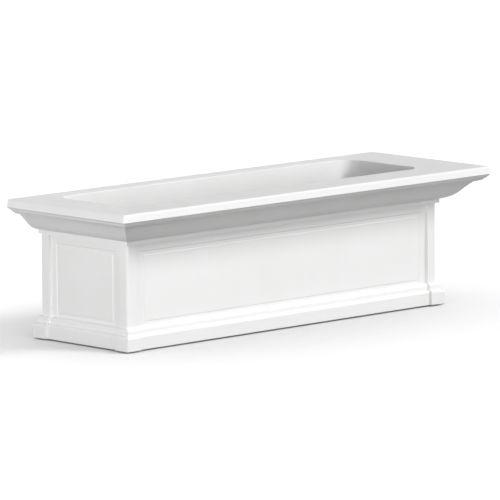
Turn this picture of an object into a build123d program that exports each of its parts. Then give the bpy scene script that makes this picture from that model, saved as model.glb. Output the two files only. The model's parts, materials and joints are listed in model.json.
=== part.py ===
from build123d import *
import os
from math import atan2, cos, degrees, radians, sin, tan

# Window box, in millimetres. X runs along the length, -Y is the front, +Y the wall side, +Z up.
# The origin is on the floor, under the middle of the rim.

# Overall size: the rim from end to end and from front to wall, and its top above the floor
OVERALL_LENGTH = 914.0
OVERALL_DEPTH = 312.0
OVERALL_HEIGHT = 257.0

# Wall thicknesses of the two large mouldings
CASING_WALL = 4.0
TROUGH_WALL = 4.0
DECK_WALL = 4.0

# Lip round the trough's rim, which hangs over the casing's top edge
LIP_HEIGHT = 14.0
LIP_LEAN = 2.5
LIP_WALL = 3.5
LIP_CORNER = 6.0
LIP_TOP_ROUND = 4.0
LIP_CLEARANCE = 0.5
LIP_TOE = 1.0

# Crown moulding below the lip, from its foot on the body outwards and upwards
BAND_REACH = 4.5
BAND_HEIGHT = 7.5
OGEE_LEDGE = 1.5
OGEE_START_ANGLE = 12.0
OGEE_LOWER_RUN = 27.0
OGEE_LOWER_RISE = 16.0
OGEE_UPPER_RUN = 15.5
OGEE_UPPER_RISE = 15.5
SOFFIT_RUN = 10.5
SOFFIT_RISE = 2.5
SLANT_RUN = 7.5
SLANT_ANGLE = 40.0

# Flat back: how far rim and base stand behind the body, and the slope under the rear rim
BACK_SET_IN = 11.0
REAR_SLOPE_RISE = 5.0

# Base moulding, two rounded shoulders over a plinth
PLINTH_HEIGHT = 22.0
PLINTH_FOOT_ROUND = 2.0
SHOULDER_RUN = 5.5
SHOULDER_RISE = 6.0
RISER_HEIGHT = 6.0

# Corner pilasters and the panels between them
PILASTER_WIDTH = 22.0
PANEL_RECESS = 5.0
CORNER_ROUND = 5.0
FIELD_MARGIN = 14.0
GROOVE_WIDTH = 9.0
GROOVE_DEPTH = 1.0
GROOVE_SLOPE = 58.0

# Space between the casing and the trough, at the front and ends, and behind the trough
TROUGH_GAP = 6.0
REAR_SPACE = 13.0

# Trough
CAVITY_CORNER = 30.0
CAVITY_DRAFT = 3.0
CAVITY_EDGE_ROUND = 1.5
DISH_BORDER = 12.0
DISH_DROP = 3.0
TROUGH_FLOOR_HEIGHT = 12.0

# Soil shelf
RESERVE_DEPTH = 42.0
SHELF_THICKNESS = 4.0
SHELF_CLEARANCE = 1.0
SHELF_LEG_RADIUS = 9.0
SHELF_LEG_COLUMNS = 4
SHELF_LEG_EDGE = 22.0
SHELF_LEG_END = 75.0
SLOT_LENGTH = 30.0
SLOT_WIDTH = 4.0
SLOT_PITCH_X = 42.0
SLOT_PITCH_Y = 14.0
SLOT_EDGE = 18.0
SLOT_GUARD = 5.0

# Wick baskets
BASKET_SPACING = 360.0
BASKET_RADIUS = 34.0
BASKET_WALL = 2.5
BASKET_DRAFT = 4.0
BASKET_FLANGE = 7.0
BASKET_FLANGE_THICKNESS = 3.0
BASKET_CLEARANCE = 0.5
BASKET_FLOOR_GAP = 3.0
BASKET_SLOT_COUNT = 10
BASKET_SLOT_WIDTH = 3.0
BASKET_SLOT_EDGE = 8.0

# Watering tube and its cap
TUBE_RADIUS = 13.0
TUBE_WALL = 2.0
TUBE_CLEARANCE = 0.3
TUBE_COLLAR = 4.0
TUBE_COLLAR_THICKNESS = 3.0
TUBE_FLOOR_GAP = 3.0
TUBE_BELOW_RIM = 20.0
TUBE_SIDE_GAP = 3.0
CAP_THICKNESS = 3.0
CAP_OVERHANG = 1.5
CAP_SPIGOT = 12.0
CAP_SPIGOT_WALL = 2.0
CAP_GRIP_HEIGHT = 5.0
CAP_GRIP_WIDTH = 4.0
CAP_GRIP_LENGTH = 18.0

# Overflow pipes and their grommets
PIPE_RADIUS = 8.0
PIPE_BORE = 6.0
PIPE_COLLAR = 3.0
PIPE_COLLAR_THICKNESS = 2.5
PIPE_TAIL = 6.0
PIPE_AIR_GAP = 10.0
PIPE_FROM_END = 45.0
SEAL_WALL = 3.0
SEAL_FLANGE = 3.0
SEAL_FLANGE_THICKNESS = 2.0
SEAL_CLEARANCE = 0.1

# Weep holes in the casing's floor
WEEP_RADIUS = 5.0
WEEP_PITCH = 160.0

# Wall fixing: two hanger sets on studs 16 inches apart
STUD_SPACING = 406.4
HANGER_HEIGHT = 150.0
HANGER_WIDTH = 50.0
HANGER_LENGTH = 130.0
HANGER_CORNER = 6.0
HANGER_THICKNESS = 3.0
LAG_SPACING = 90.0
LAG_HOLE_RADIUS = 4.25
SCREW_SPACING = 36.0
SCREW_RADIUS = 2.5
SCREW_HOLE_RADIUS = 2.75
SCREW_HEAD_RADIUS = 4.8
SCREW_HEAD_DEPTH = 2.8
SCREW_HEAD_SUNK = 0.3
SCREW_END = 2.0
WASHER_RADIUS = 5.0
WASHER_THICKNESS = 1.0
NUT_ACROSS_FLATS = 8.0
NUT_THICKNESS = 4.0
THREAD_CLEARANCE = 0.1

# Rubber pads under the base
PAD_RADIUS = 12.0
PAD_STAND = 2.2
PAD_SOCKET = 1.5
PAD_CLEARANCE = 0.3
PAD_INSET = 30.0
PAD_ROUND = 0.5

# Heights that follow, from the floor up
CASING_BOTTOM = PAD_STAND
FLOOR_TOP = CASING_BOTTOM + CASING_WALL
PLINTH_TOP = CASING_BOTTOM + PLINTH_HEIGHT
BASE_TOP = PLINTH_TOP + 2 * SHOULDER_RISE + RISER_HEIGHT
TROUGH_FLOOR_BOTTOM = FLOOR_TOP + TROUGH_FLOOR_HEIGHT
TROUGH_FLOOR_TOP = TROUGH_FLOOR_BOTTOM + TROUGH_WALL
SHELF_BOTTOM = TROUGH_FLOOR_TOP + RESERVE_DEPTH
SHELF_TOP = SHELF_BOTTOM + SHELF_THICKNESS
SEAT_TOP = OVERALL_HEIGHT - DECK_WALL
CAVITY_TOP = OVERALL_HEIGHT - DISH_DROP
LIP_BOTTOM = OVERALL_HEIGHT - LIP_HEIGHT
LIP_OVER_SEAT = LIP_CLEARANCE + LIP_WALL + LIP_LEAN
SLANT_TOP = LIP_BOTTOM - LIP_OVER_SEAT * tan(radians(SLANT_ANGLE))
SOFFIT_TOP = SLANT_TOP - SLANT_RUN * tan(radians(SLANT_ANGLE))
OGEE_TOP = SOFFIT_TOP - SOFFIT_RISE
OGEE_MIDDLE = OGEE_TOP - OGEE_UPPER_RISE
BAND_TOP = OGEE_MIDDLE - OGEE_LOWER_RISE
BAND_BOTTOM = BAND_TOP - BAND_HEIGHT

# Reaches that follow, from the pilaster's face outwards
OGEE_START = BAND_REACH + OGEE_LEDGE
OGEE_BEND = OGEE_START + OGEE_LOWER_RUN
OGEE_END = OGEE_BEND + OGEE_UPPER_RUN
SOFFIT_END = OGEE_END + SOFFIT_RUN
SEAT_REACH = SOFFIT_END + SLANT_RUN
RIM_REACH = SEAT_REACH + LIP_OVER_SEAT
REAR_SEAT_REACH = BACK_SET_IN - LIP_OVER_SEAT
BASE_REACH = 2 * SHOULDER_RUN

# Places that follow: the body's faces and the trough's cavity
WALL_PLANE = OVERALL_DEPTH / 2
BODY_END = OVERALL_LENGTH / 2 - RIM_REACH
BODY_FRONT = -OVERALL_DEPTH / 2 + RIM_REACH
BODY_BACK = WALL_PLANE - BACK_SET_IN
INNER_BACK = BODY_BACK - CASING_WALL
FACE_TO_CAVITY = PANEL_RECESS + CASING_WALL + TROUGH_GAP + TROUGH_WALL
CAVITY_END = BODY_END - FACE_TO_CAVITY
CAVITY_FRONT = BODY_FRONT + FACE_TO_CAVITY
CAVITY_BACK = INNER_BACK - REAR_SPACE - TROUGH_WALL
CAVITY_MIDDLE = (CAVITY_FRONT + CAVITY_BACK) / 2
CAVITY_LENGTH = 2 * CAVITY_END
CAVITY_DEPTH = CAVITY_BACK - CAVITY_FRONT

# Room for cutters to run past the solid that they cut, and how near an edge must be to be picked
PAST = 20.0
PICK = 0.01


def cavity_shrink(height):
    """How far the tapered trough has drawn in, on each side, at a height."""
    return (CAVITY_TOP - height) * tan(radians(CAVITY_DRAFT))


def base_side(middle, inset, top):
    """Outline from the open top down the middle, under the base and up its two shoulders."""
    floor = CASING_BOTTOM + inset
    face = BASE_REACH - inset
    ledge = SHOULDER_RUN - inset
    under = Polyline((-middle, top), (-middle, floor), (face - PLINTH_FOOT_ROUND, floor))
    foot = TangentArc(under @ 1, (face, floor + PLINTH_FOOT_ROUND), tangent=(1, 0))
    plinth = Line(foot @ 1, (face, PLINTH_TOP - inset))
    lower = TangentArc(plinth @ 1, (ledge, PLINTH_TOP + SHOULDER_RISE - inset), tangent=(0, 1))
    riser = Line(lower @ 1, (ledge, BASE_TOP - SHOULDER_RISE - inset))
    upper = TangentArc(riser @ 1, (-inset, BASE_TOP - inset), tangent=(0, 1))
    return under + foot + plinth + lower + riser + upper


def moulded_side(middle, inset, top):
    """Half outline of the casing's front or end as (reach, height), filled back to the middle."""
    def at(reach, height):
        return (reach - inset, height + inset)

    rise_out = radians(OGEE_START_ANGLE)
    body = Polyline((-inset, BASE_TOP - inset), at(0, BAND_BOTTOM), at(BAND_REACH, BAND_BOTTOM),
                    at(BAND_REACH, BAND_TOP), at(OGEE_START, BAND_TOP))
    hollow = TangentArc(body @ 1, at(OGEE_BEND, OGEE_MIDDLE), tangent=(cos(rise_out), sin(rise_out)))
    swell = TangentArc(hollow @ 1, at(OGEE_END, OGEE_TOP), tangent=hollow % 1)
    crown = Polyline(swell @ 1, at(SOFFIT_END, SOFFIT_TOP), at(SEAT_REACH, SLANT_TOP),
                     (SEAT_REACH - inset, top), (-middle, top))
    return make_face(base_side(middle, inset, top) + body + hollow + swell + crown)


def back_side(middle, inset, top):
    """Half outline of the casing's back: the same base, a flat wall, and a slope under the rear rim."""
    slope_low = SLANT_TOP - REAR_SLOPE_RISE + inset
    wall = Polyline((-inset, BASE_TOP - inset), (-inset, slope_low),
                    (REAR_SEAT_REACH - inset, SLANT_TOP + inset),
                    (REAR_SEAT_REACH - inset, top), (-middle, top))
    return make_face(base_side(middle, inset, top) + wall)


def end_prism(inset, top, recess=0.0):
    """Both end outlines drawn out along Y. The recess moves the faces in."""
    half = Pos(BODY_END - recess, 0) * moulded_side(BODY_END - recess, inset, top)
    face = half + mirror(half, Plane.YZ)
    return extrude(Plane.XZ * face, OVERALL_DEPTH, both=True)


def depth_prism(inset, top, recess=0.0):
    """Front and back outlines drawn out along X. The recess moves the front face in."""
    front = mirror(Pos(-BODY_FRONT - recess, 0) * moulded_side(-BODY_FRONT - recess, inset, top), Plane.YZ)
    back = Pos(BODY_BACK, 0) * back_side(BODY_BACK, inset, top)
    return extrude(Plane.YZ * (front + back), OVERALL_LENGTH, both=True)


def block(x_low, x_high, y_low, y_high, z_low, z_high):
    """A plain box between two corners."""
    size = (x_high - x_low, y_high - y_low, z_high - z_low)
    middle = ((x_low + x_high) / 2, (y_low + y_high) / 2, (z_low + z_high) / 2)
    return Pos(*middle) * Box(*size)


def casing_form(inset, top):
    """The casing's outer surface at inset 0, or its hollow at an inset of one wall."""
    ends = end_prism(inset, top)
    depth = depth_prism(inset, top)
    form = ends & depth
    run_end = BODY_END - PILASTER_WIDTH + inset
    front_zone = block(-run_end, run_end, -OVERALL_DEPTH, 0, -PAST, BAND_BOTTOM + inset)
    form -= front_zone & (depth - depth_prism(inset, top, PANEL_RECESS))
    end_zone = block(
        -OVERALL_LENGTH, OVERALL_LENGTH,
        BODY_FRONT + PILASTER_WIDTH - inset, BODY_BACK - PILASTER_WIDTH + inset,
        -PAST, BAND_BOTTOM + inset,
    )
    form -= end_zone & (ends - end_prism(inset, top, PANEL_RECESS))
    return form


def field_groove(plane, width, height):
    """A shallow channel with sloped sides, round a flat field on a panel. The plane faces outwards."""
    slope_run = GROOVE_DEPTH * tan(radians(GROOVE_SLOPE))
    channel = extrude(plane * Rectangle(width, height), -GROOVE_DEPTH, taper=GROOVE_SLOPE)
    field_outline = Rectangle(
        width - 2 * (GROOVE_WIDTH - slope_run), height - 2 * (GROOVE_WIDTH - slope_run)
    )
    field = extrude(plane.offset(-GROOVE_DEPTH) * field_outline, GROOVE_DEPTH, taper=GROOVE_SLOPE)
    return channel - field


def hanger_places():
    """X of the left and right hanger sets."""
    return {"left": -STUD_SPACING / 2, "right": STUD_SPACING / 2}


def y_rod(x, y_low, y_high, z, radius):
    """A round bar along Y."""
    return Pos(x, (y_low + y_high) / 2, z) * Rot(90, 0, 0) * Cylinder(radius, y_high - y_low)


def pad_places():
    """Name and centre of each foot pad."""
    reach_x = BODY_END + BASE_REACH - PAD_INSET
    front = BODY_FRONT - BASE_REACH + PAD_INSET
    back = WALL_PLANE - PAD_INSET
    return {
        "front_left": (-reach_x, front),
        "front_right": (reach_x, front),
        "back_left": (-reach_x, back),
        "back_right": (reach_x, back),
    }


def overflow_places():
    """Centre of each overflow pipe."""
    x = CAVITY_END - cavity_shrink(TROUGH_FLOOR_TOP) - PIPE_FROM_END
    return {"left": (-x, CAVITY_MIDDLE), "right": (x, CAVITY_MIDDLE)}


def corner_waste(x, y):
    """What comes off one upright corner of the body to round it."""
    middle_x = x - CORNER_ROUND if x > 0 else x + CORNER_ROUND
    middle_y = y - CORNER_ROUND if y > 0 else y + CORNER_ROUND
    x_low, x_high = sorted((x, middle_x))
    y_low, y_high = sorted((y, middle_y))
    height = BAND_BOTTOM - BASE_TOP
    rounding = Pos(middle_x, middle_y, BASE_TOP + height / 2) * Cylinder(CORNER_ROUND, height)
    return block(x_low, x_high, y_low, y_high, BASE_TOP, BAND_BOTTOM) - rounding


def make_outer_casing():
    casing = casing_form(0.0, SEAT_TOP)
    casing -= corner_waste(BODY_END, BODY_FRONT)
    casing -= corner_waste(-BODY_END, BODY_FRONT)
    casing -= corner_waste(BODY_END, BODY_BACK)
    casing -= corner_waste(-BODY_END, BODY_BACK)
    casing -= casing_form(CASING_WALL, SEAT_TOP + PAST)

    groove_bottom = BASE_TOP
    groove_top = BAND_BOTTOM - FIELD_MARGIN
    groove_middle = (groove_bottom + groove_top) / 2
    groove_height = groove_top - groove_bottom
    front_plane = Plane(
        origin=(0, BODY_FRONT + PANEL_RECESS, groove_middle), x_dir=(1, 0, 0), z_dir=(0, -1, 0)
    )
    casing -= field_groove(front_plane, 2 * (BODY_END - PILASTER_WIDTH - FIELD_MARGIN), groove_height)
    panel_depth = BODY_BACK - BODY_FRONT - 2 * (PILASTER_WIDTH + FIELD_MARGIN)
    for side in (-1, 1):
        end_plane = Plane(
            origin=(side * (BODY_END - PANEL_RECESS), (BODY_FRONT + BODY_BACK) / 2, groove_middle),
            x_dir=(0, side, 0), z_dir=(side, 0, 0),
        )
        casing -= field_groove(end_plane, panel_depth, groove_height)

    for x, y in pad_places().values():
        casing -= Pos(x, y, CASING_BOTTOM + PAD_SOCKET / 2) * Cylinder(PAD_RADIUS + PAD_CLEARANCE, PAD_SOCKET)
    weep_x, weep_y = overflow_places()["right"]
    weep_count = int(weep_x // WEEP_PITCH)
    for side in (-1, 1):
        for step in range(weep_count + 1):
            x = side * (weep_x - step * WEEP_PITCH)
            casing -= Pos(x, weep_y, CASING_BOTTOM) * Cylinder(WEEP_RADIUS, 4 * CASING_WALL)
    for x in hanger_places().values():
        for z in (HANGER_HEIGHT - LAG_SPACING / 2, HANGER_HEIGHT + LAG_SPACING / 2):
            casing -= y_rod(x, INNER_BACK - PAST, BODY_BACK + PAST, z, LAG_HOLE_RADIUS)
        for z in (HANGER_HEIGHT - SCREW_SPACING / 2, HANGER_HEIGHT + SCREW_SPACING / 2):
            casing -= y_rod(x, INNER_BACK - PAST, BODY_BACK + PAST, z, SCREW_HOLE_RADIUS)
    return casing


def dish(drop):
    """The shallow hollow in the rim's top, moved down by a drop."""
    outer_length = OVERALL_LENGTH - 2 * DISH_BORDER
    outer_depth = OVERALL_DEPTH - 2 * DISH_BORDER
    outer = Pos(0, 0, OVERALL_HEIGHT - drop) * RectangleRounded(outer_length, outer_depth, LIP_CORNER)
    inner = Pos(0, CAVITY_MIDDLE, CAVITY_TOP - drop) * RectangleRounded(
        CAVITY_LENGTH, CAVITY_DEPTH, CAVITY_CORNER
    )
    return loft([inner, outer], ruled=True)


def trough_section(height, outset=0.0):
    """The cavity's rounded rectangle at a height, or the trough's outside at an outset."""
    shrink = cavity_shrink(height) - outset
    corner = max(CAVITY_CORNER - shrink, 1.0)
    return Pos(0, CAVITY_MIDDLE, height) * RectangleRounded(
        CAVITY_LENGTH - 2 * shrink, CAVITY_DEPTH - 2 * shrink, corner
    )


def make_planting_trough():
    lean = degrees(atan2(LIP_LEAN, LIP_HEIGHT))
    undercut_run = LIP_LEAN + LIP_WALL - LIP_TOE
    undercut_rise = undercut_run * tan(radians(SLANT_ANGLE))
    widest = Pos(0, 0, LIP_BOTTOM) * RectangleRounded(OVERALL_LENGTH, OVERALL_DEPTH, LIP_CORNER)
    rim = extrude(widest, LIP_HEIGHT, taper=lean) + extrude(widest, -undercut_rise, taper=90 - SLANT_ANGLE)
    rim = fillet(rim.faces().sort_by(Axis.Z)[-1].edges(), LIP_TOP_ROUND)
    lip_inner_length = OVERALL_LENGTH - 2 * (LIP_LEAN + LIP_WALL)
    lip_inner_depth = OVERALL_DEPTH - 2 * (LIP_LEAN + LIP_WALL)
    under_deck = block(
        -lip_inner_length / 2, lip_inner_length / 2, -lip_inner_depth / 2, lip_inner_depth / 2,
        SLANT_TOP - PAST, SEAT_TOP,
    )
    rim -= dish(0)
    rim -= under_deck - dish(DECK_WALL)

    wall_top = CAVITY_TOP - DECK_WALL / 2
    walls = extrude(trough_section(wall_top, TROUGH_WALL), TROUGH_FLOOR_BOTTOM - wall_top, taper=CAVITY_DRAFT)
    trough = rim + walls

    cavity = extrude(trough_section(CAVITY_TOP), TROUGH_FLOOR_TOP - CAVITY_TOP, taper=CAVITY_DRAFT)
    trough -= cavity
    trough -= extrude(trough_section(CAVITY_TOP), PAST)
    mouth = trough.edges().filter_by_position(Axis.Z, CAVITY_TOP - PICK, CAVITY_TOP + PICK)
    trough = fillet(mouth, CAVITY_EDGE_ROUND)
    for x, y in overflow_places().values():
        hole = Cylinder(PIPE_RADIUS + SEAL_WALL + SEAL_CLEARANCE, 4 * TROUGH_WALL)
        trough -= Pos(x, y, TROUGH_FLOOR_BOTTOM) * hole
    return trough


def tube_place():
    """Centre of the watering tube, at the middle of the trough's front wall."""
    return 0.0, CAVITY_FRONT + cavity_shrink(SHELF_BOTTOM) + TUBE_RADIUS + TUBE_COLLAR + TUBE_SIDE_GAP


def basket_places():
    """X of the left and right wick baskets."""
    return {"left": -BASKET_SPACING / 2, "right": BASKET_SPACING / 2}


def shelf_legs():
    """Centres of the shelf's legs."""
    reach_x = CAVITY_END - cavity_shrink(TROUGH_FLOOR_TOP) - SHELF_LEG_END
    reach_y = CAVITY_DEPTH / 2 - cavity_shrink(TROUGH_FLOOR_TOP) - SHELF_LEG_EDGE
    places = []
    for column in range(SHELF_LEG_COLUMNS):
        x = -reach_x + 2 * reach_x * column / (SHELF_LEG_COLUMNS - 1)
        for y in (CAVITY_MIDDLE - reach_y, CAVITY_MIDDLE + reach_y):
            places.append((x, y))
    return places


def slot_places():
    """Centres of the shelf's drain slots, clear of the legs, the baskets and the tube."""
    reach_x = CAVITY_END - cavity_shrink(SHELF_BOTTOM) - SHELF_CLEARANCE - SLOT_EDGE - SLOT_LENGTH / 2
    reach_y = CAVITY_DEPTH / 2 - cavity_shrink(SHELF_BOTTOM) - SHELF_CLEARANCE - SLOT_EDGE
    columns = int(reach_x // SLOT_PITCH_X)
    rows = int(reach_y // SLOT_PITCH_Y)
    tube = tube_place()
    keep_clear = [(tube[0], tube[1], TUBE_RADIUS + TUBE_COLLAR)]
    for x in basket_places().values():
        keep_clear.append((x, CAVITY_MIDDLE, BASKET_RADIUS + BASKET_FLANGE))
    for x, y in shelf_legs():
        keep_clear.append((x, y, SHELF_LEG_RADIUS))
    places = []
    for column in range(-columns, columns + 1):
        for row in range(-rows, rows + 1):
            x = column * SLOT_PITCH_X
            y = CAVITY_MIDDLE + row * SLOT_PITCH_Y
            free = True
            for clear_x, clear_y, radius in keep_clear:
                gap_x = max(abs(x - clear_x) - SLOT_LENGTH / 2, 0)
                gap_y = max(abs(y - clear_y) - SLOT_WIDTH / 2, 0)
                if (gap_x ** 2 + gap_y ** 2) ** 0.5 < radius + SLOT_GUARD:
                    free = False
            if free:
                places.append((x, y))
    return places


def make_soil_shelf():
    shrink = cavity_shrink(SHELF_BOTTOM) + SHELF_CLEARANCE
    plate_outline = Pos(0, CAVITY_MIDDLE, SHELF_BOTTOM) * RectangleRounded(
        CAVITY_LENGTH - 2 * shrink, CAVITY_DEPTH - 2 * shrink, CAVITY_CORNER - cavity_shrink(SHELF_BOTTOM)
    )
    shelf = extrude(plate_outline, SHELF_THICKNESS)
    for x, y in shelf_legs():
        shelf += Pos(x, y, (TROUGH_FLOOR_TOP + SHELF_BOTTOM) / 2) * Cylinder(SHELF_LEG_RADIUS, RESERVE_DEPTH)
    for x in basket_places().values():
        hole = Cylinder(BASKET_RADIUS + BASKET_CLEARANCE, 4 * SHELF_THICKNESS)
        shelf -= Pos(x, CAVITY_MIDDLE, SHELF_TOP) * hole
    tube_x, tube_y = tube_place()
    shelf -= Pos(tube_x, tube_y, SHELF_TOP) * Cylinder(TUBE_RADIUS + TUBE_CLEARANCE, 4 * SHELF_THICKNESS)
    slots = [Pos(x, y) * SlotOverall(SLOT_LENGTH, SLOT_WIDTH) for x, y in slot_places()]
    slot_cutter = extrude(Pos(0, 0, SHELF_BOTTOM - SHELF_THICKNESS) * Sketch(children=slots), 3 * SHELF_THICKNESS)
    return shelf - slot_cutter


def make_wick_basket(x):
    bottom = TROUGH_FLOOR_TOP + BASKET_FLOOR_GAP
    height = SHELF_TOP - bottom
    cup = extrude(Pos(x, CAVITY_MIDDLE, SHELF_TOP) * Circle(BASKET_RADIUS), -height, taper=BASKET_DRAFT)
    flange = Pos(x, CAVITY_MIDDLE, SHELF_TOP + BASKET_FLANGE_THICKNESS / 2) * Cylinder(
        BASKET_RADIUS + BASKET_FLANGE, BASKET_FLANGE_THICKNESS
    )
    inside = extrude(
        Pos(x, CAVITY_MIDDLE, SHELF_TOP) * Circle(BASKET_RADIUS - BASKET_WALL), BASKET_WALL - height,
        taper=BASKET_DRAFT,
    )
    mouth = Pos(x, CAVITY_MIDDLE, SHELF_TOP + BASKET_FLANGE_THICKNESS) * Cylinder(
        BASKET_RADIUS - BASKET_WALL, 2 * BASKET_FLANGE_THICKNESS
    )
    basket = cup + flange - inside - mouth
    slot_low = bottom + BASKET_SLOT_EDGE
    slot_high = SHELF_BOTTOM - BASKET_SLOT_EDGE
    for index in range(BASKET_SLOT_COUNT):
        slot = block(0, BASKET_RADIUS + BASKET_FLANGE, -BASKET_SLOT_WIDTH / 2, BASKET_SLOT_WIDTH / 2,
                     slot_low, slot_high)
        basket -= Pos(x, CAVITY_MIDDLE, 0) * Rot(0, 0, 360 * index / BASKET_SLOT_COUNT) * slot
    return basket


def tube_top():
    """Height of the watering tube's top, below the rim."""
    return CAVITY_TOP - TUBE_BELOW_RIM


def make_fill_tube():
    x, y = tube_place()
    bottom = TROUGH_FLOOR_TOP + TUBE_FLOOR_GAP
    length = tube_top() - bottom
    tube = Pos(x, y, bottom + length / 2) * Cylinder(TUBE_RADIUS, length)
    tube += Pos(x, y, SHELF_TOP + TUBE_COLLAR_THICKNESS / 2) * Cylinder(
        TUBE_RADIUS + TUBE_COLLAR, TUBE_COLLAR_THICKNESS
    )
    return tube - Pos(x, y, bottom + length / 2) * Cylinder(TUBE_RADIUS - TUBE_WALL, 2 * length)


def make_fill_cap():
    x, y = tube_place()
    bore = TUBE_RADIUS - TUBE_WALL
    spigot = bore - TUBE_CLEARANCE
    top = tube_top()
    cap = Pos(x, y, top + CAP_THICKNESS / 2) * Cylinder(TUBE_RADIUS + CAP_OVERHANG, CAP_THICKNESS)
    cap = fillet(cap.edges().sort_by(Axis.Z)[-1], CAP_THICKNESS / 3)
    cap += Pos(x, y, top - CAP_SPIGOT / 2) * Cylinder(spigot, CAP_SPIGOT)
    cap -= Pos(x, y, top - CAP_SPIGOT / 2) * Cylinder(spigot - CAP_SPIGOT_WALL, CAP_SPIGOT)
    grip = Pos(x, y, top + CAP_THICKNESS + CAP_GRIP_HEIGHT / 2) * Box(
        CAP_GRIP_LENGTH, CAP_GRIP_WIDTH, CAP_GRIP_HEIGHT
    )
    return cap + grip


def make_overflow_seal(place):
    """Grommet: a flange above and below the trough's floor, joined through its hole."""
    x, y = place
    bore = PIPE_RADIUS + SEAL_CLEARANCE
    waist = PIPE_RADIUS + SEAL_WALL
    flange = waist + SEAL_FLANGE
    low = TROUGH_FLOOR_BOTTOM - SEAL_FLANGE_THICKNESS
    high = TROUGH_FLOOR_TOP + SEAL_FLANGE_THICKNESS
    seal = Pos(x, y, (low + high) / 2) * Cylinder(waist, high - low)
    for z in (low, TROUGH_FLOOR_TOP):
        seal += Pos(x, y, z + SEAL_FLANGE_THICKNESS / 2) * Cylinder(flange, SEAL_FLANGE_THICKNESS)
    return seal - Pos(x, y, (low + high) / 2) * Cylinder(bore, 2 * (high - low))


def make_overflow_pipe(place):
    """Stand pipe: its collar rests on the grommet, its open top sets the water level."""
    x, y = place
    low = TROUGH_FLOOR_BOTTOM - PIPE_TAIL
    high = SHELF_BOTTOM - PIPE_AIR_GAP
    collar_low = TROUGH_FLOOR_TOP + SEAL_FLANGE_THICKNESS
    pipe = Pos(x, y, (low + high) / 2) * Cylinder(PIPE_RADIUS, high - low)
    pipe += Pos(x, y, collar_low + PIPE_COLLAR_THICKNESS / 2) * Cylinder(
        PIPE_RADIUS + PIPE_COLLAR, PIPE_COLLAR_THICKNESS
    )
    return pipe - Pos(x, y, (low + high) / 2) * Cylinder(PIPE_BORE, 2 * (high - low))


def hanger_outline(x, y):
    """The hanger set's rounded rectangle, upright, facing the wall."""
    plane = Plane(origin=(x, y, HANGER_HEIGHT), x_dir=(-1, 0, 0), z_dir=(0, 1, 0))
    return plane * RectangleRounded(HANGER_WIDTH, HANGER_LENGTH, HANGER_CORNER)


def drilled(solid, x):
    """The hanger set's four holes, through a plate or a spacer."""
    for z in (HANGER_HEIGHT - LAG_SPACING / 2, HANGER_HEIGHT + LAG_SPACING / 2):
        solid -= y_rod(x, INNER_BACK - PAST, WALL_PLANE + PAST, z, LAG_HOLE_RADIUS)
    for z in (HANGER_HEIGHT - SCREW_SPACING / 2, HANGER_HEIGHT + SCREW_SPACING / 2):
        solid -= y_rod(x, INNER_BACK - PAST, WALL_PLANE + PAST, z, SCREW_HOLE_RADIUS)
    return solid


def make_hanger_plate(x):
    return drilled(extrude(hanger_outline(x, INNER_BACK), -HANGER_THICKNESS), x)


def head_cone(x, z, radius, y_back, length):
    """A countersunk cone that narrows from the wall plane inwards."""
    small = SCREW_RADIUS
    return Pos(x, y_back - length / 2, z) * Rot(-90, 0, 0) * Cone(small, radius, length)


def make_wall_spacer(x):
    spacer = drilled(extrude(hanger_outline(x, BODY_BACK), BACK_SET_IN), x)
    sink = SCREW_HEAD_DEPTH + SCREW_HEAD_SUNK
    for z in (HANGER_HEIGHT - SCREW_SPACING / 2, HANGER_HEIGHT + SCREW_SPACING / 2):
        spread = SCREW_HEAD_RADIUS + THREAD_CLEARANCE
        spacer -= head_cone(x, z, spread, WALL_PLANE - SCREW_HEAD_SUNK, SCREW_HEAD_DEPTH)
        spacer -= y_rod(x, WALL_PLANE - SCREW_HEAD_SUNK, WALL_PLANE + sink, z, spread)
    return spacer


def screw_places():
    """X and height of each clamping screw."""
    places = []
    for x in hanger_places().values():
        places.append((x, HANGER_HEIGHT - SCREW_SPACING / 2))
        places.append((x, HANGER_HEIGHT + SCREW_SPACING / 2))
    return places


def make_hanger_screws():
    washer_face = INNER_BACK - HANGER_THICKNESS - WASHER_THICKNESS
    end = washer_face - NUT_THICKNESS - SCREW_END
    head_back = WALL_PLANE - SCREW_HEAD_SUNK
    screws = []
    for x, z in screw_places():
        screw = y_rod(x, end, head_back, z, SCREW_RADIUS)
        screw += head_cone(x, z, SCREW_HEAD_RADIUS, head_back, SCREW_HEAD_DEPTH)
        screws.append(screw)
    return Compound(children=screws)


def make_hanger_washers():
    high = INNER_BACK - HANGER_THICKNESS
    low = high - WASHER_THICKNESS
    washers = []
    for x, z in screw_places():
        washer = y_rod(x, low, high, z, WASHER_RADIUS)
        washers.append(washer - y_rod(x, low - PAST, high + PAST, z, SCREW_HOLE_RADIUS))
    return Compound(children=washers)


def make_hanger_nuts():
    high = INNER_BACK - HANGER_THICKNESS - WASHER_THICKNESS
    nuts = []
    for x, z in screw_places():
        plane = Plane(origin=(x, high, z), x_dir=(1, 0, 0), z_dir=(0, -1, 0))
        hexagon = plane * RegularPolygon(NUT_ACROSS_FLATS / 2, 6, major_radius=False)
        nut = extrude(hexagon, NUT_THICKNESS)
        nuts.append(nut - y_rod(x, high - PAST, high + PAST, z, SCREW_RADIUS + THREAD_CLEARANCE))
    return Compound(children=nuts)


def make_foot_pad(place):
    x, y = place
    height = PAD_STAND + PAD_SOCKET
    pad = Pos(x, y, height / 2) * Cylinder(PAD_RADIUS, height)
    return fillet(pad.edges().sort_by(Axis.Z)[0], PAD_ROUND)


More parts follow.
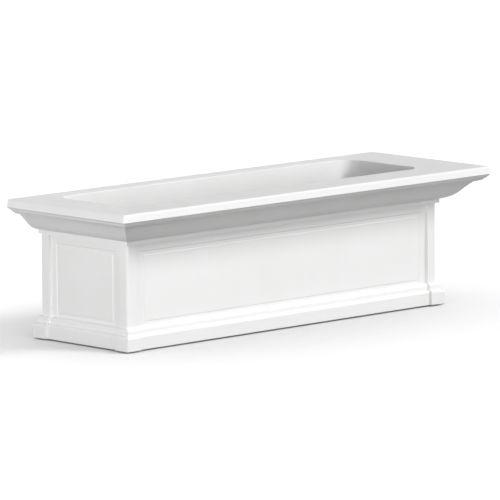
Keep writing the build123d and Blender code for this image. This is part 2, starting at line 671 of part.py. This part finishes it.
def build_nodes():
    nodes = {
        "outer_casing": make_outer_casing(),
        "planting_trough": make_planting_trough(),
        "soil_shelf": make_soil_shelf(),
        "fill_tube": make_fill_tube(),
        "fill_cap": make_fill_cap(),
        "hanger_screws": make_hanger_screws(),
        "hanger_washers": make_hanger_washers(),
        "hanger_nuts": make_hanger_nuts(),
    }
    for side, x in basket_places().items():
        nodes["wick_basket_" + side] = make_wick_basket(x)
    for side, place in overflow_places().items():
        nodes["overflow_pipe_" + side] = make_overflow_pipe(place)
        nodes["overflow_seal_" + side] = make_overflow_seal(place)
    for side, x in hanger_places().items():
        nodes["hanger_plate_" + side] = make_hanger_plate(x)
        nodes["wall_spacer_" + side] = make_wall_spacer(x)
    for corner, place in pad_places().items():
        nodes["foot_pad_" + corner] = make_foot_pad(place)
    return nodes


os.makedirs("parts", exist_ok=True)
for name, solid in build_nodes().items():
    export_step(solid, "parts/" + name + ".step")
print("cavity", round(CAVITY_LENGTH, 1), "x", round(CAVITY_DEPTH, 1), "mm at the rim")
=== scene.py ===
import json
import math

import bpy
from mathutils import Matrix, Vector

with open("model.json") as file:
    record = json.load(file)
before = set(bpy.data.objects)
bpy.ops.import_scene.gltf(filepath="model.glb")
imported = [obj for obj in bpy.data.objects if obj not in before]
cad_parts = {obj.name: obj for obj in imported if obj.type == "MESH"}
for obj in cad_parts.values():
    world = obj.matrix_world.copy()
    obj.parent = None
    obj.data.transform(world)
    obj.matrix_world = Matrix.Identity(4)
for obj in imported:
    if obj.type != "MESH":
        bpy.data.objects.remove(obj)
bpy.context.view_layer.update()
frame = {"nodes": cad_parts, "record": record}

NODES = frame["nodes"]
SCENE = bpy.context.scene

# Camera that matches the photograph, in metres and degrees
CAMERA_PLACE = (-7.46537, -7.82476, 1.69600)
CAMERA_AZIMUTH = -43.62
CAMERA_ELEVATION = 8.22
CAMERA_ROLL = -0.38
CAMERA_LENS = 436.8
SENSOR_WIDTH = 36.0
NEAREST_SEEN = 0.1
FURTHEST_SEEN = 200.0

# Suns: the way to each, its strength and its width in degrees
KEY_TOWARDS = (0.62, -0.97, 1.0)
KEY_STRENGTH = 2.2
KEY_SPREAD = 19.0
FRONT_TOWARDS = (-0.45, -1.0, 0.14)
FRONT_STRENGTH = 1.82
FRONT_SPREAD = 50.0

# Low panels at both ends and behind: where each stands, which way it shines and its power
PANEL_SIZE = (2.4, 0.22)
LEFT_PANEL_PLACE = (-2.3, -0.2, 0.23)
LEFT_PANEL_SHINES = (1.0, 0.0, 0.0)
LEFT_PANEL_POWER = 24.0
RIGHT_PANEL_PLACE = (2.6, 0.2, 0.17)
RIGHT_PANEL_SHINES = (-1.0, 0.0, 0.0)
BACK_PANEL_PLACE = (0.0, 2.6, 0.17)
BACK_PANEL_SHINES = (0.0, -1.0, 0.0)
REAR_PANEL_POWER = 18.0

# Room: white to the eye, and a faint even light on the object
ROOM_WHITE = 1.0
ROOM_LIGHT = 0.16

# Floor: a pale sheet, white to the eye, with painted shade close to what stands on it, from an ambient
# occlusion node that dims its glow
FLOOR_SIZE = 60.0
FLOOR_TONE = 0.13
FLOOR_LIT = 0.5
FLOOR_GLOW = 0.68
PAINTED_SHADE_REACH = 0.45
PAINTED_SHADE_SAMPLES = 16

# The middle stretch of a noise, over which colour and gloss change
NOISE_LOW = 0.3
NOISE_HIGH = 0.7

# Moulded plastic: darkest and lightest colour, least and most roughness, depth of the mould's grain
WHITE_RESIN = ((0.815, 0.815, 0.81), (0.84, 0.84, 0.837), 0.36, 0.46, 0.00006)
BLACK_RESIN = ((0.022, 0.022, 0.024), (0.034, 0.034, 0.036), 0.42, 0.6, 0.0001)
PLASTIC_IOR = 1.5
WAVE_DEPTH = 0.00025

# Zinc plate and rubber: darkest and lightest colour, least and most roughness, depth of the relief
ZINC_COLOURS = ((0.46, 0.47, 0.49), (0.66, 0.67, 0.68))
ZINC_ROUGHNESS = (0.28, 0.46)
SCRATCH_DEPTH = 0.00004
SCRATCH_STRETCH = (1.0, 1.0, 0.04)
RUBBER_COLOURS = ((0.018, 0.018, 0.019), (0.05, 0.05, 0.052))
RUBBER_ROUGHNESS = (0.62, 0.85)
RUBBER_SKIN_DEPTH = 0.0001

# Edges that a mould rounds: the radius, the turn that counts as an edge, and the turn that counts as flat
EDGE_ROUND = 0.0008
EDGE_SEGMENTS = 3
EDGE_TURN = 28.0
FLAT_TURN = 0.6
WELD_REACH = 0.00002


def feed(tree, node, sockets):
    """Gives each socket a value of its own, or the output of another node."""
    for name, given in sockets.items():
        if isinstance(given, bpy.types.NodeSocket):
            tree.links.new(given, node.inputs[name])
        else:
            node.inputs[name].default_value = given


def add_node(tree, kind, sockets):
    node = tree.nodes.new("ShaderNode" + kind)
    feed(tree, node, sockets)
    return node


def grey(tone):
    return (tone, tone, tone, 1.0)


def noise(tree, place, scale, detail):
    """A noise whose grains are about 1/scale metres across."""
    return add_node(tree, "TexNoise", {"Vector": place, "Scale": scale, "Detail": detail}).outputs["Fac"]


def number_between(tree, fac, low, high):
    """A number that runs from low to high with the noise."""
    stretch = {"Value": fac, "From Min": NOISE_LOW, "From Max": NOISE_HIGH, "To Min": low, "To Max": high}
    return add_node(tree, "MapRange", stretch).outputs["Result"]


def colour_between(tree, fac, dark, light):
    """A colour that runs from dark to light with the noise."""
    ramp = add_node(tree, "ValToRGB", {"Fac": fac})
    first, last = ramp.color_ramp.elements
    first.position = NOISE_LOW
    first.color = (*dark, 1.0)
    last.position = NOISE_HIGH
    last.color = (*light, 1.0)
    return ramp.outputs["Color"]


def bump(tree, height, depth, strength, under=None):
    """A relief of that depth in metres, on top of another one where there is one."""
    sockets = {"Height": height, "Distance": depth, "Strength": strength}
    if under is not None:
        sockets["Normal"] = under
    return add_node(tree, "Bump", sockets).outputs["Normal"]


def new_material(name):
    """A node material, its nodes, its shader and coordinates in the object's own metres."""
    material = bpy.data.materials.new(name)
    material.use_nodes = True
    tree = material.node_tree
    place = add_node(tree, "TexCoord", {}).outputs["Object"]
    return material, tree, tree.nodes["Principled BSDF"], place


def moulded_plastic(name, dark, light, least_rough, most_rough, grain_depth):
    """Moulded plastic: faint cloudy colour, uneven gloss, a fine mould grain over slow waves."""
    material, tree, shader, place = new_material(name)
    clouds = noise(tree, place, scale=9.0, detail=4.0)
    smears = noise(tree, place, scale=38.0, detail=5.0)
    waves = bump(tree, noise(tree, place, scale=22.0, detail=1.0), WAVE_DEPTH, strength=0.5)
    grain = noise(tree, place, scale=900.0, detail=2.0)
    feed(tree, shader, {
        "Base Color": colour_between(tree, clouds, dark, light),
        "Roughness": number_between(tree, smears, least_rough, most_rough),
        "Normal": bump(tree, grain, grain_depth, strength=0.6, under=waves),
        "IOR": PLASTIC_IOR,
    })
    return material


def zinc_plate(name):
    """Zinc plated steel: mottled grey with fine rolled scratches."""
    material, tree, shader, place = new_material(name)
    mottle = noise(tree, place, scale=160.0, detail=6.0)
    rolled = add_node(tree, "Mapping", {"Vector": place, "Scale": SCRATCH_STRETCH}).outputs["Vector"]
    scratches = noise(tree, rolled, scale=2600.0, detail=2.0)
    feed(tree, shader, {
        "Base Color": colour_between(tree, mottle, *ZINC_COLOURS),
        "Roughness": number_between(tree, mottle, *ZINC_ROUGHNESS),
        "Normal": bump(tree, scratches, SCRATCH_DEPTH, strength=0.5),
        "Metallic": 1.0,
    })
    return material


def rubber(name):
    """Black rubber: dusty, with a coarse skin."""
    material, tree, shader, place = new_material(name)
    dust = noise(tree, place, scale=120.0, detail=5.0)
    skin = noise(tree, place, scale=1400.0, detail=3.0)
    feed(tree, shader, {
        "Base Color": colour_between(tree, dust, *RUBBER_COLOURS),
        "Roughness": number_between(tree, dust, *RUBBER_ROUGHNESS),
        "Normal": bump(tree, skin, RUBBER_SKIN_DEPTH, strength=0.7),
    })
    return material


def dress(name, material):
    materials = NODES[name].data.materials
    materials.clear()
    materials.append(material)


def soften(name):
    """Rounds the sharp edges of a CAD piece a little, as a mould does."""
    modifiers = NODES[name].modifiers
    weld = modifiers.new("weld", "WELD")
    weld.merge_threshold = WELD_REACH
    flat = modifiers.new("flat faces", "DECIMATE")
    flat.decimate_type = "DISSOLVE"
    flat.angle_limit = math.radians(FLAT_TURN)
    bevel = modifiers.new("rounded edges", "BEVEL")
    bevel.width = EDGE_ROUND
    bevel.segments = EDGE_SEGMENTS
    bevel.limit_method = "ANGLE"
    bevel.angle_limit = math.radians(EDGE_TURN)
    shading = modifiers.new("shading", "WEIGHTED_NORMAL")
    shading.weight = 100


def add_to_scene(name, data):
    made = bpy.data.objects.new(name, data)
    SCENE.collection.objects.link(made)
    return made


def lamp(name, kind, power, back):
    """A lamp whose back points that way, so it shines the other way."""
    made = add_to_scene(name, bpy.data.lights.new(name, kind))
    made.data.energy = power
    made.rotation_mode = "QUATERNION"
    made.rotation_quaternion = back.to_track_quat("Z", "Y")
    return made


def sun(name, towards, strength, spread):
    """Light from far away in that direction. The wider it is, the softer its shadows."""
    made = lamp(name, "SUN", strength, Vector(towards))
    made.data.angle = math.radians(spread)


def panel(name, place, shines, power):
    """A flat lamp that the camera doesn't see."""
    made = lamp(name, "AREA", power, -Vector(shines))
    made.data.shape = "RECTANGLE"
    made.data.size, made.data.size_y = PANEL_SIZE
    made.location = place
    made.visible_camera = False


def make_camera():
    """A camera that looks along its azimuth and elevation, and leans by its roll."""
    a, e, r = (math.radians(v) for v in (CAMERA_AZIMUTH, CAMERA_ELEVATION, CAMERA_ROLL))
    back = Vector((math.sin(a) * math.cos(e), -math.cos(a) * math.cos(e), math.sin(e)))
    across = Vector((math.cos(a), math.sin(a), 0.0))
    up = back.cross(across)
    x_axis = math.cos(r) * across + math.sin(r) * up
    y_axis = -math.sin(r) * across + math.cos(r) * up
    turned = Matrix((x_axis, y_axis, back)).transposed().to_4x4()
    camera = add_to_scene("camera", bpy.data.cameras.new("camera"))
    camera.data.lens = CAMERA_LENS
    camera.data.sensor_width = SENSOR_WIDTH
    camera.data.clip_start = NEAREST_SEEN
    camera.data.clip_end = FURTHEST_SEEN
    camera.matrix_world = Matrix.Translation(CAMERA_PLACE) @ turned
    SCENE.camera = camera


def maximum(tree, one, other):
    made = add_node(tree, "Math", {0: one, 1: other})
    made.operation = "MAXIMUM"
    return made.outputs[0]


def shown_apart(tree, unseen, seen):
    """One shader where the eye, a mirror or glass sees a surface, and another where it lights others."""
    path = add_node(tree, "LightPath", {}).outputs
    eye = maximum(tree, path["Is Camera Ray"], path["Is Glossy Ray"])
    any_sight = maximum(tree, eye, path["Is Transmission Ray"])
    return add_node(tree, "MixShader", {0: any_sight, 1: unseen, 2: seen}).outputs[0]


def floor_paper():
    material = bpy.data.materials.new("floor paper")
    material.use_nodes = True
    tree = material.node_tree
    tree.nodes.clear()
    plain = add_node(tree, "BsdfDiffuse", {"Color": grey(FLOOR_TONE)}).outputs[0]
    lit = add_node(tree, "BsdfDiffuse", {"Color": grey(FLOOR_LIT)}).outputs[0]
    # Painted contact shade: ambient occlusion dims the floor's glow near what stands on it
    painted_contact_shade = add_node(tree, "AmbientOcclusion", {"Distance": PAINTED_SHADE_REACH})
    painted_contact_shade.samples = PAINTED_SHADE_SAMPLES
    strength = add_node(tree, "Math", {0: painted_contact_shade.outputs["AO"], 1: FLOOR_GLOW})
    strength.operation = "MULTIPLY"
    glow = add_node(tree, "Emission", {"Strength": strength.outputs[0]}).outputs[0]
    white = add_node(tree, "AddShader", {0: lit, 1: glow}).outputs[0]
    add_node(tree, "OutputMaterial", {"Surface": shown_apart(tree, plain, white)})
    return material


def make_floor():
    half = FLOOR_SIZE / 2
    corners = [(-half, -half, 0), (half, -half, 0), (half, half, 0), (-half, half, 0)]
    mesh = bpy.data.meshes.new("floor")
    mesh.from_pydata(corners, [], [(0, 1, 2, 3)])
    mesh.materials.append(floor_paper())
    add_to_scene("floor", mesh)


def make_room():
    SCENE.world = bpy.data.worlds.new("room")
    SCENE.world.use_nodes = True
    tree = SCENE.world.node_tree
    tree.nodes.clear()
    light = add_node(tree, "Background", {"Color": grey(1.0), "Strength": ROOM_LIGHT}).outputs[0]
    shown = add_node(tree, "Background", {"Color": grey(1.0), "Strength": ROOM_WHITE}).outputs[0]
    add_node(tree, "OutputWorld", {"Surface": shown_apart(tree, light, shown)})


# The stage
make_camera()
make_room()
make_floor()
sun("key", KEY_TOWARDS, KEY_STRENGTH, KEY_SPREAD)
sun("front", FRONT_TOWARDS, FRONT_STRENGTH, FRONT_SPREAD)
panel("left panel", LEFT_PANEL_PLACE, LEFT_PANEL_SHINES, LEFT_PANEL_POWER)
panel("right panel", RIGHT_PANEL_PLACE, RIGHT_PANEL_SHINES, REAR_PANEL_POWER)
panel("back panel", BACK_PANEL_PLACE, BACK_PANEL_SHINES, REAR_PANEL_POWER)

# Each piece gets the material that its slot names
SLOT_MATERIALS = {
    "white_resin": moulded_plastic("white resin", *WHITE_RESIN),
    "black_resin": moulded_plastic("black resin", *BLACK_RESIN),
    "zinc_steel": zinc_plate("zinc plate"),
    "rubber": rubber("rubber"),
}
for part in frame["record"]["subparts"]:
    dress(part["node"], SLOT_MATERIALS[part["material_slot"]])

# The two large mouldings
soften("outer_casing")
soften("planting_trough")

SCENE.view_settings.view_transform = "Standard"
